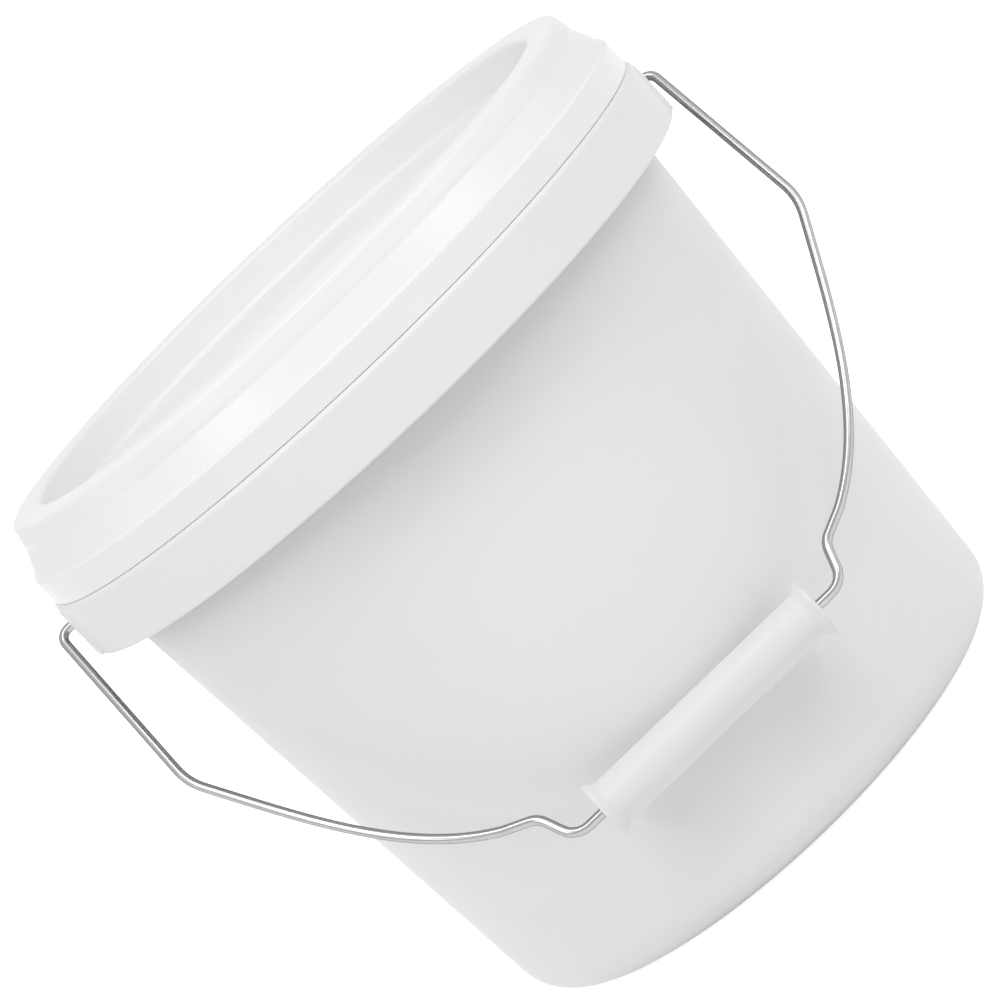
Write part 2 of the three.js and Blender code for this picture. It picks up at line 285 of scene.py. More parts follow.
bpy.context.scene.view_settings.view_transform = "Standard"
bpy.context.scene.world = make_world()
make_floor()
lamps = [softbox(name, **setup) for name, setup in LIGHTS.items()]
print("world", WORLD_LIGHT, "lamps", [lamp.name for lamp in lamps])

# %% [markdown]
# ## From a drawn line to a skin
#
# Almost every moulding here is turned: half of its section is drawn as a line of corners, the corners are
# rounded, and the line is carried round an axis. Working on whole arrays keeps this short. Smooth shading
# blends the direction of a surface across each face, so two extra points close to every rounded corner keep
# that blend off the long flat faces.

# %% Round a drawn line


def rounded(corners, radii, steps=10):
    """Rounds the inner corners of a line with arcs that touch both of their runs.
    With half the angle between two runs, the arc's centre lies radius / sin(half) along their bisector, and
    the arc starts and ends radius / tan(half) along the runs. The points between come from a spherical blend
    of the two arms: (sin((1 - t) * sweep) * start + sin(t * sweep) * end) / sin(sweep)."""
    line = np.array(corners, float)
    radii = np.array(radii, float)[:, None]
    middle = line[1:-1]
    back = line[:-2] - middle
    onward = line[2:] - middle
    back /= np.linalg.norm(back, axis=1, keepdims=True)
    onward /= np.linalg.norm(onward, axis=1, keepdims=True)
    half = np.arccos((back * onward).sum(1, keepdims=True)) / 2
    bisector = (back + onward) / np.linalg.norm(back + onward, axis=1, keepdims=True)
    centre = middle + bisector * radii / np.sin(half)
    start = middle + back * radii / np.tan(half) - centre
    end = middle + onward * radii / np.tan(half) - centre
    sweep = (np.pi - 2 * half)[:, None]
    share = np.linspace(0, 1, steps + 1)[None, :, None]
    arms = np.sin((1 - share) * sweep) * start[:, None] + np.sin(share * sweep) * end[:, None]
    arcs = centre[:, None] + arms / np.sin(sweep)
    return np.vstack((line[:1], arcs.reshape(-1, 2), line[-1:]))


def guarded(line, guard=0.35, spacing=12.0):
    """Adds points to a line's long runs: one a guard's distance from each end, and more at an even spacing.
    Every point is found by its distance along the line."""
    lengths = np.linalg.norm(np.diff(line, axis=0), axis=1)
    stations = np.concatenate(([0], np.cumsum(lengths)))
    long = lengths > 4 * guard
    fixed = np.concatenate((stations, stations[:-1][long] + guard, stations[1:][long] - guard))
    even = np.arange(spacing, stations[-1], spacing)
    apart = np.abs(even[:, None] - fixed[None]).min(1) > guard
    places = np.sort(np.concatenate((fixed, even[apart])))
    return np.column_stack([np.interp(places, stations, line[:, column]) for column in (0, 1)])


square = rounded([(0, 0), (10, 0), (10, 10)], [2])
print("a rounded corner of", len(square), "points, guarded", len(guarded(square)))

# %% Carry a line round an axis and make a mesh of it
TURNS = 216


def turned(line, turns=TURNS):
    """Carries a line of (radius, height) round the vertical axis: x = radius cos a, y = radius sin a."""
    angle = np.arange(turns) * (2 * np.pi / turns)
    rings = np.empty((len(line), turns, 3))
    rings[..., 0] = line[:, :1] * np.cos(angle)
    rings[..., 1] = line[:, :1] * np.sin(angle)
    rings[..., 2] = line[:, 1:]
    return rings


def grid_faces(rings, looped):
    """The faces between neighbouring rings, as rows of vertex numbers, and the points themselves.
    A looped grid joins its last ring to its first. Otherwise the end rings shrink to one point each."""
    body = rings if looped else rings[1:-1]
    number = np.arange(body.shape[0] * body.shape[1]).reshape(body.shape[:2])
    lower = number if looped else number[:-1]
    upper = np.roll(number, -1, 0) if looped else number[1:]
    quads = np.stack((lower, np.roll(lower, -1, 1), np.roll(upper, -1, 1), upper), -1).reshape(-1, 4)
    points = body.reshape(-1, 3)
    if looped:
        return points, quads.tolist()
    poles = np.array([rings[0].mean(0), rings[-1].mean(0)])
    first = np.full(body.shape[1], len(points))
    start = np.stack((first, np.roll(number[0], -1), number[0]), -1)
    end = np.stack((first + 1, number[-1], np.roll(number[-1], -1)), -1)
    return np.vstack((points, poles)), quads.tolist() + start.tolist() + end.tolist()


def skin(name, grids, looped=False):
    """Makes one smooth object from grids of rings, given in millimetres, with its faces outwards."""
    points, faces = [], []
    for rings in grids:
        found, joined = grid_faces(rings, looped)
        offset = sum(len(part) for part in points)
        points.append(found)
        faces += [[number + offset for number in face] for face in joined] if offset else joined
    mesh = bpy.data.meshes.new(name)
    mesh.from_pydata((np.vstack(points) * MM).tolist(), [], faces)
    shell = bmesh.new()
    shell.from_mesh(mesh)
    bmesh.ops.recalc_face_normals(shell, faces=shell.faces)
    shell.to_mesh(mesh)
    shell.free()
    mesh.polygons.foreach_set("use_smooth", np.ones(len(mesh.polygons), bool))
    piece = bpy.data.objects.new(name, mesh)
    bpy.context.scene.collection.objects.link(piece)
    print(name, "has", len(mesh.polygons), "faces")
    return piece


# %% [markdown]
# ## White plastic
#
# The pail, lid and grip are injection moulded in white polypropylene. Up close it isn't one flat white: the
# pigment is slightly uneven, the mould's fine texture breaks up the gloss, the wall is a little wavy where
# it shrank, and handling leaves faint rubbed patches. Each of those is a noise at its own scale. The lid's
# mould is polished, the pail's is finer than satin and the grip's is satin, so one function takes the
# roughness and the depths.

# %% Make the plastic finishes
PLASTIC_IOR = 1.49
POLISH = 0.08
POLISH_EDGE = 1.0
PANEL_RADIUS = 28.0
CLOUD_SIZE = 45
GRAIN_SIZE = 0.55
PATCH_SIZE = 26
PATCH_RANGE = (0.3, 0.8)
PATCH_SHADE = 0.15
WAVE_SIZE = 60
WAVE_STRETCH = (1, 1, 0.5)
LIGHTER = 0.008
DARKER = 0.012
CLOUD_ROUGHNESS = 0.05


def plastic(name, white, matt, shine, grain_depth, wave_depth, rubbed, polished=0.0):
    """White plastic: roughness = matt + uneven pigment + rubbed patches, and two bumps, grain and waves.
    Shine is the specular level. Within the polished radius round the axis the roughness drops."""
    finish = Finish(bpy.data.materials.new(name))
    cloud = finish.noise(CLOUD_SIZE, 3)
    grain = finish.noise(GRAIN_SIZE, 2)
    patches = finish.between(finish.noise(PATCH_SIZE, 3), *PATCH_RANGE, 0, 1)
    waves = finish.noise(WAVE_SIZE, 1, finish.place(WAVE_STRETCH))
    shade = finish.blend(cloud + PATCH_SHADE * patches, white + LIGHTER, white - DARKER)
    roughness = matt + CLOUD_ROUGHNESS * cloud + rubbed * patches
    if polished:
        flat = {"Vector": finish.place((1, 1, 0))}
        level = finish.node("ShaderNodeVectorMath", flat, "Value", operation="LENGTH")
        inside = finish.between(level, (polished - POLISH_EDGE) * MM, polished * MM, 1, 0)
        roughness = roughness - POLISH * inside
    surface = finish.bump(grain, grain_depth, finish.bump(waves, wave_depth))
    sockets = {"Base Color": shade, "Roughness": roughness, "Normal": surface, "IOR": PLASTIC_IOR}
    sockets["Specular IOR Level"] = shine
    return finish.end(finish.node("ShaderNodeBsdfPrincipled", sockets))


pail_plastic = plastic(
    "white pail plastic", white=0.82, matt=0.36, shine=0.2, grain_depth=0.004, wave_depth=0.10, rubbed=0.08,
)
lid_plastic = plastic(
    "polished lid plastic", white=0.85, matt=0.27, shine=0.4, grain_depth=0.001, wave_depth=0.06, rubbed=0.02,
    polished=PANEL_RADIUS,
)
grip_plastic = plastic(
    "satin grip plastic", white=0.765, matt=0.38, shine=0.4, grain_depth=0.006, wave_depth=0.03, rubbed=0.08,
)
print("made", pail_plastic.name, lid_plastic.name, grip_plastic.name)

# %% [markdown]
# ## Drawn steel wire
#
# The bail is bright galvanised wire. Drawing the wire through a die leaves long fine lines, so the noise
# follows the wire's own map: it is stretched fiftyfold along the wire and is fine around it. The zinc
# adds soft cloudy patches. A grey edge tint is painted shade: it darkens the wire's reflection near its
# edges.

# %% Make the wire's finish
ZINC_LIGHT = 0.46
ZINC_DARK = 0.30
# Painted shade: a grey edge tint darkens the wire's reflection towards its edges.
PAINTED_EDGE_SHADE = 0.3
LINE_SIZE = 0.5
LINE_STRETCH = 0.02
LINE_DEPTH = 0.012
ZINC_CLOUD_SIZE = 5
WIRE_SMOOTH = 0.16
WIRE_DULLING = 0.14


def wire_finish():
    """Metal coloured by clouds and drawn lines and rougher in the clouds; its edge tint is painted shade."""
    finish = Finish(bpy.data.materials.new("galvanised wire"))
    lines = finish.noise(LINE_SIZE, 3, finish.place((LINE_STRETCH, 1, 1), "UV"))
    clouds = finish.noise(ZINC_CLOUD_SIZE, 4)
    colour = finish.blend(0.5 * lines + 0.5 * clouds, ZINC_LIGHT, ZINC_DARK)
    roughness = WIRE_SMOOTH + WIRE_DULLING * clouds
    sockets = {
        "Base Color": colour,
        "Metallic": 1.0,
        "Roughness": roughness,
        "Normal": finish.bump(lines, LINE_DEPTH),
        "Specular Tint": (*[PAINTED_EDGE_SHADE] * 3, 1),
    }
    return finish.end(finish.node("ShaderNodeBsdfPrincipled", sockets))


galvanised = wire_finish()
print("made", galvanised.name)


def dress(piece, material, slot, body, *nodes):
    """Gives a piece its finish, lets it ride on a body and stand for CAD nodes; slot is not used."""
    piece.data.materials.append(material)
    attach(piece, body)
    if nodes:
        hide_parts(*nodes)


# %% [markdown]
# ## The pail
#
# One moulding: a tapered wall on a rolled base corner and a foot ring, and at the top a collar that folds
# out and down over a hollow with thin ribs, below a neck with a rim bead that the lid grips. Its section is
# one closed outline, so the whole pail is one turned skin. The collar has a hole at each side for the wire.
# Cutting them is the one step that a turned grid can't do, so a boolean does it, a little wider than the
# real hole, and the ears made later cover its edge.

# %% Turn the pail
BASE_RADIUS = 89.1
WALL_DRAFT = np.radians(4.08)
WALL = 1.6
BASE_CORNER = 12.5
BASE_THICKNESS = 1.9
FOOT_WIDTH = 7.5
FOOT_HEIGHT = 2.4
FOOT_FILLET = 1.5
FOOT_EDGE = 1.2
GATE_RADIUS = 4.0
GATE_HEIGHT = 0.5
GATE_EDGE = 0.3
NECK_WALL = 2.4
BEAD_REACH = 1.7
BEAD_HEIGHT = 4.2
BEAD_EDGE = 0.8
BEAD_SLOPE_EDGE = 0.5
NECK_BLEND = 3.0
LEDGE_DROP = 22.0
LEDGE_THICKNESS = 1.8
WALL_FILLET = 0.8
SKIRT_FILLET = 0.6
COLLAR_REACH = 10.7
COLLAR_DEPTH = 18.8
COLLAR_EDGE = 1.8
SKIRT_WALL = 1.6
SKIRT_EDGE = 0.7
SMALL_EDGE = 0.4

ledge_z = pail_top - LEDGE_DROP
skirt_z = ledge_z - COLLAR_DEPTH


def wall_radius(z):
    """The outside of the tapered wall: it widens by the tangent of the draft with height."""
    return BASE_RADIUS + z * np.tan(WALL_DRAFT)


neck_radius = wall_radius(ledge_z)
neck_bore = neck_radius - NECK_WALL
bead_radius = neck_radius + BEAD_REACH
collar_radius = neck_radius + COLLAR_REACH
skirt_bore = collar_radius - SKIRT_WALL


def pail_line():
    """The section from the axis under the base, up outside, over the rim and down inside to the axis."""
    foot_inner = BASE_RADIUS - BASE_CORNER - FOOT_WIDTH
    under_ledge = ledge_z - LEDGE_THICKNESS
    bead_foot = pail_top - BEAD_HEIGHT
    floor_z = FOOT_HEIGHT + BASE_THICKNESS
    inset = WALL / np.cos(WALL_DRAFT)
    neck_foot = (neck_bore + inset - BASE_RADIUS) / np.tan(WALL_DRAFT)
    corners = [
        ((0, FOOT_HEIGHT - GATE_HEIGHT), 0),
        ((GATE_RADIUS, FOOT_HEIGHT - GATE_HEIGHT), GATE_EDGE),
        ((GATE_RADIUS + GATE_HEIGHT, FOOT_HEIGHT), SMALL_EDGE),
        ((foot_inner - FOOT_HEIGHT, FOOT_HEIGHT), FOOT_FILLET),
        ((foot_inner, 0), FOOT_EDGE),
        ((BASE_RADIUS, 0), BASE_CORNER),
        ((wall_radius(under_ledge), under_ledge), WALL_FILLET),
        ((skirt_bore, under_ledge), SKIRT_FILLET),
        ((skirt_bore, skirt_z), SMALL_EDGE),
        ((collar_radius, skirt_z), SKIRT_EDGE),
        ((collar_radius, ledge_z), COLLAR_EDGE),
        ((neck_radius, ledge_z), SMALL_EDGE),
        ((neck_radius, bead_foot - BEAD_EDGE), BEAD_SLOPE_EDGE),
        ((bead_radius, bead_foot + BEAD_EDGE), BEAD_SLOPE_EDGE),
        ((bead_radius, pail_top), BEAD_EDGE),
        ((neck_bore, pail_top), BEAD_EDGE),
        ((neck_bore, neck_foot), NECK_BLEND),
        ((wall_radius(floor_z) - inset, floor_z), BASE_CORNER - WALL),
        ((0, floor_z), 0),
    ]
    points, radii = zip(*corners)
    return guarded(rounded(points, radii[1:-1]))


pail_shell = skin("pail_shell", [turned(pail_line())])

# %% [markdown]
# ## The ears
#
# Where the wire goes through the collar, the skirt carries a low pad outside and a round boss inside. One
# grid makes both with the hole between them: its rings start inside the skirt, run over the pad's edge and
# face to the hole, through the hole, over the boss and back into the skirt. A ring is drawn flat, as places
# across and up, and then laid on a cylinder, so the pad follows the collar's curve.

# %% Make the ears and cut the wire's holes
GAP = 0.3
WIRE_RADIUS = 1.4
EAR_HALF_WIDTH = 21.0
EAR_PROUD = 0.5
EAR_MARGIN = 1.2
EAR_CORNER = 2.0
EAR_CORNER_STEPS = 6
EAR_SPACING = 2.0
EAR_EDGE = 0.45
EAR_BOSS_RADIUS = 4.8
EAR_BOSS_LENGTH = 1.8
EAR_FACE_RINGS = 10
HOLE_EDGE = 0.4
CUT_RADIUS = 3.0
CUT_SPARE = 2.0
CUT_SIDES = 48
QUARTER = np.radians([0, 30, 60, 90])

ear_face = collar_radius + EAR_PROUD
boss_face = skirt_bore - EAR_BOSS_LENGTH
hole_radius = WIRE_RADIUS + GAP


def ear_outline():
    """A rectangle with rounded corners, as (across, height), from the middle of its top and back to it."""
    low = skirt_z + EAR_EDGE / 2
    high = ledge_z - COLLAR_EDGE - EAR_MARGIN
    wide = EAR_HALF_WIDTH
    corners = [(0, high), (-wide, high), (-wide, low), (wide, low), (wide, high), (0, high)]
    return guarded(rounded(corners, [EAR_CORNER] * 4, EAR_CORNER_STEPS), spacing=EAR_SPACING)[:-1]


def ear_rings(side):
    """Pad rings are the outline set in along its normal, face rings blend from there to the hole, and hole
    and boss rings are circles. With a ring's depth as radius, x = side * sqrt(depth^2 - across^2)."""
    outline = ear_outline()
    along = np.roll(outline, -1, 0) - np.roll(outline, 1, 0)
    inward = np.column_stack((-along[:, 1], along[:, 0])) / np.linalg.norm(along, axis=1, keepdims=True)
    hub = pivot[[0, 2]]
    way = (outline - hub) / np.linalg.norm(outline - hub, axis=1, keepdims=True)
    inside = skirt_bore + SKIRT_WALL / 2
    rings = [(outline, inside)]
    rings += [
        (outline + inward * EAR_EDGE * (1 - np.cos(t)), ear_face - EAR_EDGE * (1 - np.sin(t)))
        for t in QUARTER
    ]
    pad_edge = outline + inward * 2 * EAR_EDGE
    hole_edge = hub + way * (hole_radius + 2 * HOLE_EDGE)
    shares = np.linspace(0, 1, EAR_FACE_RINGS)
    rings += [(pad_edge * (1 - share) + hole_edge * share, ear_face) for share in shares]
    for face, inwards in ((ear_face, -1), (boss_face, 1)):
        turns = QUARTER if inwards < 0 else QUARTER[::-1]
        for t in turns:
            radius = hole_radius + HOLE_EDGE * (1 - np.sin(t))
            rings.append((hub + way * radius, face + inwards * HOLE_EDGE * (1 - np.cos(t))))
    boss = EAR_BOSS_RADIUS - EAR_EDGE
    rings += [(hub + way * (boss - EAR_EDGE), boss_face)]
    rings += [
        (hub + way * (boss + EAR_EDGE * np.sin(t)), boss_face + EAR_EDGE * (1 - np.cos(t)))
        for t in QUARTER
    ]
    rings += [(hub + way * EAR_BOSS_RADIUS, inside)]
    return np.array([
        np.column_stack((side * np.sqrt(depth**2 - flat[:, 0] ** 2), flat[:, 0], flat[:, 1]))
        for flat, depth in rings
    ])


def cut_holes(piece):
    """Takes a short rod along X away from the skirt at each ear, without reaching the wall."""
    length = ear_face - boss_face + CUT_SPARE
    for side in (-1, 1):
        cutter = bmesh.new()
        turn = Matrix.Rotation(np.pi / 2, 4, "Y")
        middle = side * (ear_face + boss_face) / 2
        place = Matrix.Translation(Vector((middle, 0, pivot[2])) * MM) @ turn
        bmesh.ops.create_cone(
            cutter, cap_ends=True, segments=CUT_SIDES, radius1=CUT_RADIUS * MM, radius2=CUT_RADIUS * MM,
            depth=length * MM, matrix=place,
        )
        mesh = bpy.data.meshes.new("cutter")
        cutter.to_mesh(mesh)
        cutter.free()
        tool = bpy.data.objects.new("cutter", mesh)
        bpy.context.scene.collection.objects.link(tool)
        hole = piece.modifiers.new("hole", "BOOLEAN")
        hole.object = tool
        hole.solver = "EXACT"
        bpy.context.view_layer.objects.active = piece
        bpy.ops.object.modifier_apply(modifier="hole")
        bpy.data.objects.remove(tool)
        bpy.data.meshes.remove(mesh)


cut_holes(pail_shell)
ears = skin("ear_pads", [ear_rings(-1), ear_rings(1)], looped=True)
dress(pail_shell, pail_plastic, "pail_plastic", "pail", "pail")
dress(ears, pail_plastic, "pail_plastic", "pail", "pail")
print("hole radius", hole_radius, "pail faces", len(pail_shell.data.polygons))

# %% [markdown]
# ## The ribs under the collar
#
# Thin upright ribs tie the skirt to the wall and keep it round. They are only seen from below. A rib is a
# flat plate: its outline is drawn once, set in a little towards both faces to round its edges, and copied
# round the axis by turning the whole array.

# %% Make the ribs
RIB_COUNT = 24
RIB_THICKNESS = 1.4
RIB_DEPTH = 10.0
RIB_EDGE = 0.3
RIB_ROUNDS = (0.5, 0.5, 1.5, 0.5)


def plate(outline, thickness, edge):
    """A flat plate as rings. A ring is the outline scaled towards its middle so that it is set in by about
    edge * (1 - sin a), at a height of thickness / 2 - edge * (1 - cos a), for a from face to side."""
    middle = outline.mean(0)
    arms = outline - middle
    reach = np.linalg.norm(arms, axis=1, keepdims=True)
    half = [(edge * (1 - np.sin(t)), thickness / 2 - edge * (1 - np.cos(t))) for t in QUARTER]
    sections = [(reach, thickness / 2), (2 * edge, thickness / 2)] + half
    sections += [(inset, -height) for inset, height in reversed(sections)]
    return np.array([
        np.column_stack((middle + arms * (1 - inset / reach), 0 * reach + height))
        for inset, height in sections
    ])


def rib_rings():
    """The rib's plate stands in the plane of radius and height, and each copy is turned about the axis."""
    top = ledge_z - LEDGE_THICKNESS / 2
    low = ledge_z - LEDGE_THICKNESS - RIB_DEPTH
    inner = neck_radius - NECK_WALL / 2
    outer = skirt_bore + SKIRT_WALL / 2
    middle_top = ((inner + outer) / 2, top)
    wall_foot = (wall_radius(low) - WALL / 2, low)
    skirt_foot = (outer, low + RIB_DEPTH / 3)
    corners = [middle_top, (inner, top), wall_foot, skirt_foot, (outer, top), middle_top]
    flat = plate(rounded(corners, RIB_ROUNDS)[:-1], RIB_THICKNESS, RIB_EDGE)
    angles = (np.arange(RIB_COUNT) + 0.5) * (2 * np.pi / RIB_COUNT)
    radius, height, across = flat[..., 0], flat[..., 1], flat[..., 2]
    turned_plates = []
    for a in angles:
        x = radius * np.cos(a) - across * np.sin(a)
        y = radius * np.sin(a) + across * np.cos(a)
        turned_plates.append(np.stack((x, y, height), -1))
    return turned_plates


ribs = skin("skirt_ribs", rib_rings())
dress(ribs, pail_plastic, "pail_plastic", "pail", "pail")

# %% [markdown]
# ## The lid
#
# A second turned moulding. From the middle outwards: a round panel raised a little, the recess floor, a
# steep wall up to the land, a flange that flares in two steps with a soft crease between them, a small
# ledge and the band that comes down to the collar. Underneath, a plug wall with a sealing rib presses into
# the neck and a short leg hooks down outside the rim bead.

# %% Turn the lid
LID_WALL = 1.6
LAND_WIDTH = 10.6
LAND_EDGE = 1.8
RECESS_DEPTH = 11.1
RECESS_DRAFT = 1.1
RECESS_CORNER = 1.5
PANEL_SLOPE = 6.0
PANEL_HEIGHT = 1.8
PANEL_EDGE = 4.0
PANEL_FILLET = 5.0
FLANGE_DEPTH = 15.5
CREASE_DEPTH = 5.6
CREASE_HEIGHT = 1.3
CREASE_WIDTH = 0.13
CREASE_BEND = 3.0
UPPER_FLARE = np.radians(14)
STEP_LEDGE = 1.15
STEP_EDGE = 0.7
STEP_FILLET = 0.3
BAND_INSET = 0.95
BAND_EDGE = 0.15
BAND_INNER_EDGE = 0.35
LEG_WALL = 1.4
LEG_DEPTH = 7.0
LEG_SPLIT = 3.6
LEG_SPLIT_EDGE = 0.1
SEAL_DEPTH = 3.0
SEAL_HEIGHT = 1.6
SEAL_EDGE = 0.3
PLUG_BEND = 1.2
BAND_GAP = 0.06


def lid_line():
    """The lid's section from the axis on top, out over the land, down the flange and back underneath."""
    land_radius = bead_radius + GAP + LID_WALL
    panel_z = land_z - RECESS_DEPTH
    recess_top = land_radius - LAND_WIDTH
    band = collar_radius - BAND_INSET
    step_z = land_z - FLANGE_DEPTH
    crease = land_radius + CREASE_DEPTH * np.tan(UPPER_FLARE)
    crease_z = land_z - CREASE_DEPTH
    under = land_z - LID_WALL
    leg = bead_radius + GAP
    plug = recess_top + LID_WALL
    seal_z = under - SEAL_DEPTH
    band_bore = band - LID_WALL
    corners = [
        ((0, panel_z + PANEL_HEIGHT), 0),
        ((PANEL_RADIUS, panel_z + PANEL_HEIGHT), PANEL_EDGE),
        ((PANEL_RADIUS + PANEL_SLOPE, panel_z), PANEL_FILLET),
        ((recess_top - RECESS_DRAFT, panel_z), RECESS_CORNER),
        ((recess_top, land_z), RECESS_CORNER),
        ((land_radius, land_z), LAND_EDGE),
        ((crease, crease_z), CREASE_BEND),
        ((crease + CREASE_WIDTH, crease_z - CREASE_HEIGHT), CREASE_BEND),
        ((band - STEP_LEDGE, step_z + STEP_EDGE), STEP_FILLET),
        ((band, step_z), STEP_EDGE),
        ((band, ledge_z + BAND_GAP), BAND_EDGE),
        ((band_bore, ledge_z + BAND_GAP), BAND_INNER_EDGE),
        ((band_bore, step_z - LID_WALL), SMALL_EDGE),
        ((band_bore - STEP_LEDGE, step_z - LID_WALL / 2), SMALL_EDGE),
        ((leg + LEG_WALL + GAP, under - LEG_SPLIT), LEG_SPLIT_EDGE),
        ((leg + LEG_WALL, under - LEG_SPLIT), LEG_SPLIT_EDGE),
        ((leg + LEG_WALL, under - LEG_DEPTH), SMALL_EDGE),
        ((leg, under - LEG_DEPTH), SMALL_EDGE),
        ((leg, under), SMALL_EDGE),
        ((plug, under), SMALL_EDGE),
        ((plug, seal_z + SEAL_HEIGHT), SMALL_EDGE),
        ((neck_bore - GAP, seal_z), SEAL_EDGE),
        ((plug - RECESS_DRAFT / 2, seal_z - SEAL_HEIGHT), SMALL_EDGE),
        ((plug - RECESS_DRAFT, panel_z - LID_WALL), PLUG_BEND),
        ((0, panel_z - LID_WALL), 0),
    ]
    points, radii = zip(*corners)
    return guarded(rounded(points, radii[1:-1]), guard=0.25)


lid_shell = skin("lid_shell", [turned(lid_line())])
dress(lid_shell, lid_plastic, "lid_plastic", "lid", "lid")

# %% [markdown]
# ## The wire bail
#
# The bail is one length of wire bent on a jig: it comes out of the ears, turns down, bends inwards at the
# elbows, sweeps round the pail and drops through a kink at each side to the straight seat of the grip. All
# of that lies in one plane. So the route is drawn flat, across and down from the pivots, and a circle is
# carried along it. Its upset heads are only a change of radius at the two ends. The plane leans forward
# until the grip rests on the wall, which the frame's two hinges already say.

# %% Bend the wire
BAIL_REACH = 118.389
ELBOW_DROP = 64.0
ELBOW_ANGLE = np.radians(28)
ELBOW_BEND = 22.0
ELBOW_HANDLE = 36.0
KINK_ANGLE = np.radians(69)
KINK_HANDLE = 33.0
KINK_RISE = 12.2
KINK_OUT = 4.4
SHOULDER_BEND = 3.2
KINK_BEND = 6.5
GRIP_LENGTH = 80.0
GRIP_SPARE = 9.6
HEAD_RADIUS = 2.3
HEAD_LENGTH = 1.8
HEAD_EDGE = 0.6
HEAD_STANDOFF = 0.8
RIGHT_LEAN = 2.3
WIRE_SIDES = 24
WIRE_SPACING = 1.0
SWEEP_STEPS = 48
SWEEP_TRIM = 5
FINE_STEP = 0.25

hang = seat - pivot
bail_drop = np.linalg.norm(hang)
down = hang / bail_drop
across = np.array([1.0, 0, 0])


def half_route(lean):
    """Half of the route as (across, down): straight runs with rounded bends, and between elbow and kink a
    Bezier sweep, (1-t)^3 a + 3 (1-t)^2 t b + 3 (1-t) t^2 c + t^3 d. A lean moves the shoulder inwards."""
    end = (boss_face - HEAD_STANDOFF - HEAD_LENGTH, 0)
    elbow = np.array([BAIL_REACH, ELBOW_DROP])
    corner_x = GRIP_LENGTH / 2 + GRIP_SPARE
    kink = np.array([corner_x + KINK_OUT, bail_drop - KINK_RISE])
    leaving = elbow + ELBOW_HANDLE * np.array([-np.sin(ELBOW_ANGLE), np.cos(ELBOW_ANGLE)])
    arriving = kink + KINK_HANDLE * np.array([np.sin(KINK_ANGLE), -np.cos(KINK_ANGLE)])
    t = np.linspace(0, 1, SWEEP_STEPS + 1)[:, None]
    left = 1 - t
    sweep = left**3 * elbow + 3 * left**2 * t * leaving + 3 * left * t**2 * arriving + t**3 * kink
    first = rounded([end, (BAIL_REACH - lean, 0), elbow, leaving], [SHOULDER_BEND, ELBOW_BEND])[:-1]
    foot = [sweep[-1 - SWEEP_TRIM], kink, (corner_x, bail_drop), (0, bail_drop)]
    last = rounded(foot, [KINK_BEND, KINK_BEND])[1:]
    return np.vstack((first, sweep[SWEEP_TRIM:-SWEEP_TRIM], last))


def wire_stations():
    """Points, radii and lengths along the whole wire: evenly spaced stations, and at each end the stations
    of a head whose radius follows a rounded shoulder, radius - edge * (1 - sin a)."""
    route = np.vstack((half_route(RIGHT_LEAN), half_route(0)[-2::-1] * (-1, 1)))
    lengths = np.concatenate(([0], np.cumsum(np.linalg.norm(np.diff(route, axis=0), axis=1))))
    total = lengths[-1]
    rise = HEAD_EDGE * (1 - np.cos(QUARTER))
    spread = HEAD_RADIUS - HEAD_EDGE * (1 - np.sin(QUARTER))
    head_at = np.concatenate(([0, 0], rise, HEAD_LENGTH - rise[::-1], [HEAD_LENGTH, HEAD_LENGTH + GAP]))
    head_size = np.concatenate(([0, HEAD_RADIUS / 2], spread, spread[::-1], [WIRE_RADIUS + GAP, WIRE_RADIUS]))
    even = np.linspace(2 * HEAD_LENGTH, total - 2 * HEAD_LENGTH, round(total / WIRE_SPACING))
    places = np.concatenate((head_at, even, total - head_at[::-1]))
    sizes = np.concatenate((head_size, np.full(len(even), WIRE_RADIUS), head_size[::-1]))
    points = np.column_stack([np.interp(places, lengths, route[:, column]) for column in (0, 1)])
    fine = np.arange(0, total, FINE_STEP)
    slope = np.column_stack([np.gradient(np.interp(fine, lengths, route[:, c])) for c in (0, 1)])
    heading = np.column_stack([np.interp(places, fine, slope[:, c]) for c in (0, 1)])
    heading /= np.linalg.norm(heading, axis=1, keepdims=True)
    return points, heading, sizes, places


def swept_wire():
    """Rings of pivot + route + radius * (cos a * sideways + sin a * plane's normal), with sideways at right
    angles to the route in the bail's plane."""
    points, heading, sizes, places = wire_stations()
    angle = np.arange(WIRE_SIDES) * (2 * np.pi / WIRE_SIDES)
    normal = np.cross(across, down)
    centre = pivot + points[:, :1] * across + points[:, 1:] * down
    sideways = -heading[:, 1:] * across + heading[:, :1] * down
    arm = np.cos(angle)[None, :, None] * sideways[:, None] + np.sin(angle)[None, :, None] * normal
    return centre[:, None] + sizes[:, None, None] * arm, places


wire_rings, wire_places = swept_wire()
bail_wire = skin("bail_wire", [wire_rings])
leaning = np.degrees(np.arctan2(-down[1], -down[2]))
print("wire length", round(wire_places[-1], 1), "mm, leaning", round(leaning, 2))

# %% [markdown]
# The drawn lines need a map that runs along the wire and around it. Each corner of a face belongs to a
# vertex, and a vertex's number says its ring and its column. Where a face closes the circle, its far corners
# would jump back to column nought, so they are moved one whole turn on.

# %% Map the wire


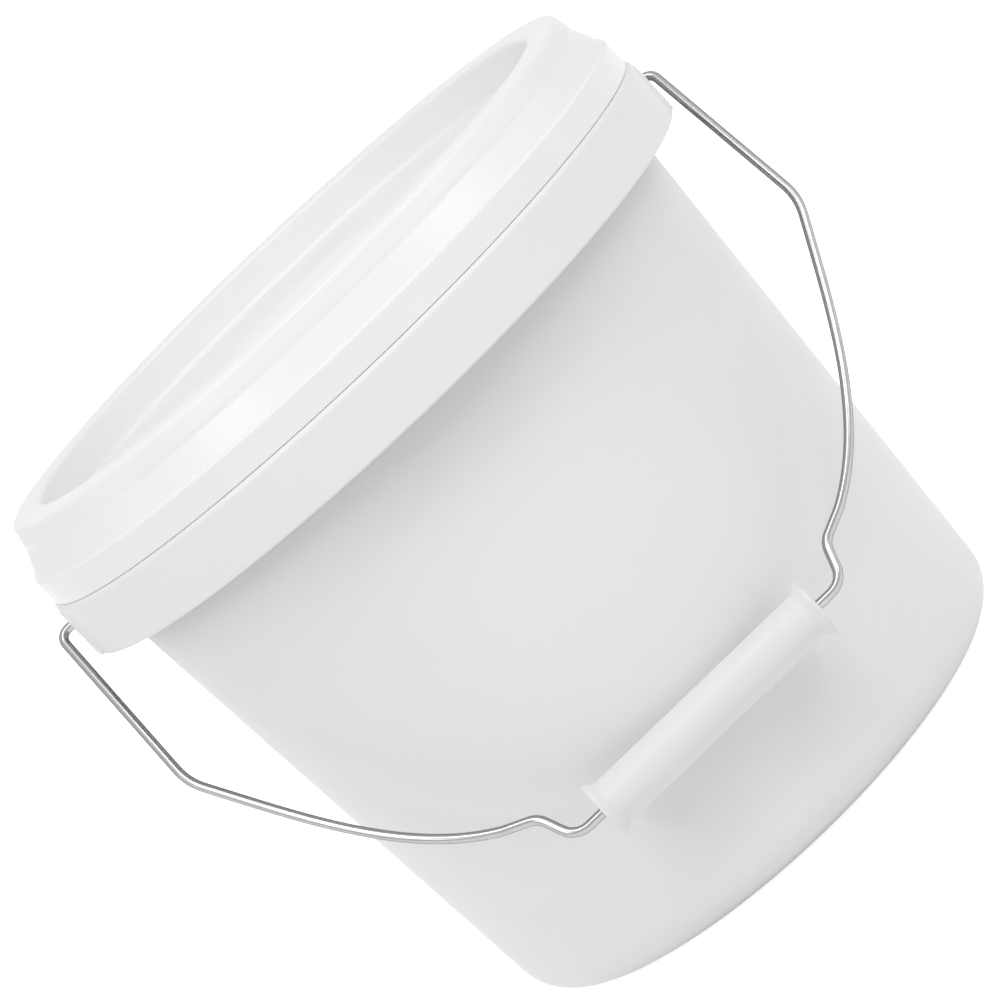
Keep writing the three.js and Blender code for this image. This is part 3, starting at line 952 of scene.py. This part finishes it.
def map_wire(piece, places, sides):
    """Gives each face corner u = length along the wire and v = length around it, both in metres."""
    mesh = piece.data
    vertices = np.empty(len(mesh.loops), np.int32)
    mesh.loops.foreach_get("vertex_index", vertices)
    starts = np.empty(len(mesh.polygons), np.int32)
    mesh.polygons.foreach_get("loop_start", starts)
    sizes = np.diff(np.append(starts, len(vertices)))
    ring = np.clip(vertices // sides, 0, len(places) - 3)
    column = (vertices % sides).astype(float)
    widest = np.repeat(np.maximum.reduceat(column, starts), sizes)
    column += sides * ((widest == sides - 1) & (column == 0))
    metres = np.column_stack((places[ring + 1], column * (2 * np.pi * WIRE_RADIUS / sides))) * MM
    layer = mesh.uv_layers.new(name="along")
    layer.data.foreach_set("uv", metres.astype(np.float32).ravel())


map_wire(bail_wire, wire_places, WIRE_SIDES)
dress(bail_wire, galvanised, "bail_wire", "bail", "bail")

# %% [markdown]
# ## The grip
#
# A plain moulded tube that flares to a low lip at each end, free to turn on the wire. It is turned about the
# seat, and the line where the two halves of its mould met stands up a hair along the top and the bottom.

# %% Turn the grip
GRIP_RADIUS = 7.2
FLANGE_REACH = 1.8
FLANGE_WIDTH = 1.0
FLANGE_SLOPE = 2.4
FLANGE_EDGE = 0.45
FLANGE_FILLET = 2.0
GRIP_TURNS = 144
PARTING_HEIGHT = 0.08
PARTING_WIDTH = np.radians(2.5)


def grip_rings():
    """A closed section of (radius, length) round the seat's line. The radius outside gains the parting
    height times exp(-(angle from the parting / width)^2)."""
    end = GRIP_LENGTH / 2
    flange = GRIP_RADIUS + FLANGE_REACH
    corners = [
        ((hole_radius, 0), 0),
        ((hole_radius, -end), FLANGE_EDGE),
        ((flange, -end), FLANGE_EDGE),
        ((flange, FLANGE_WIDTH - end), FLANGE_EDGE),
        ((GRIP_RADIUS, FLANGE_WIDTH + FLANGE_SLOPE - end), FLANGE_FILLET),
        ((GRIP_RADIUS, end - FLANGE_WIDTH - FLANGE_SLOPE), FLANGE_FILLET),
        ((flange, end - FLANGE_WIDTH), FLANGE_EDGE),
        ((flange, end), FLANGE_EDGE),
        ((hole_radius, end), FLANGE_EDGE),
        ((hole_radius, 0), 0),
    ]
    points, radii = zip(*corners)
    line = guarded(rounded(points, radii[1:-1]))[:-1]
    rings = turned(line, GRIP_TURNS)
    angle = np.arange(GRIP_TURNS) * (2 * np.pi / GRIP_TURNS)
    off = np.abs((angle + np.pi / 2) % np.pi - np.pi / 2)
    ridge = PARTING_HEIGHT * np.exp(-((off / PARTING_WIDTH) ** 2))
    grown = 1 + np.where(line[:, :1] > GRIP_RADIUS / 2, ridge / line[:, :1], 0)
    return seat + np.stack((rings[..., 2], rings[..., 1] * grown, rings[..., 0] * grown), -1)


grip_tube = skin("grip_tube", [grip_rings()], looped=True)
dress(grip_tube, grip_plastic, "grip_plastic", "grip", "grip")

# %% [markdown]
# ## The dressed bucket
#
# Every piece is now made, stands in for its CAD node and wears its finish. The skins have to stay
# inside the imported model's box.

# %% The dressed bucket
print("all pieces dressed")
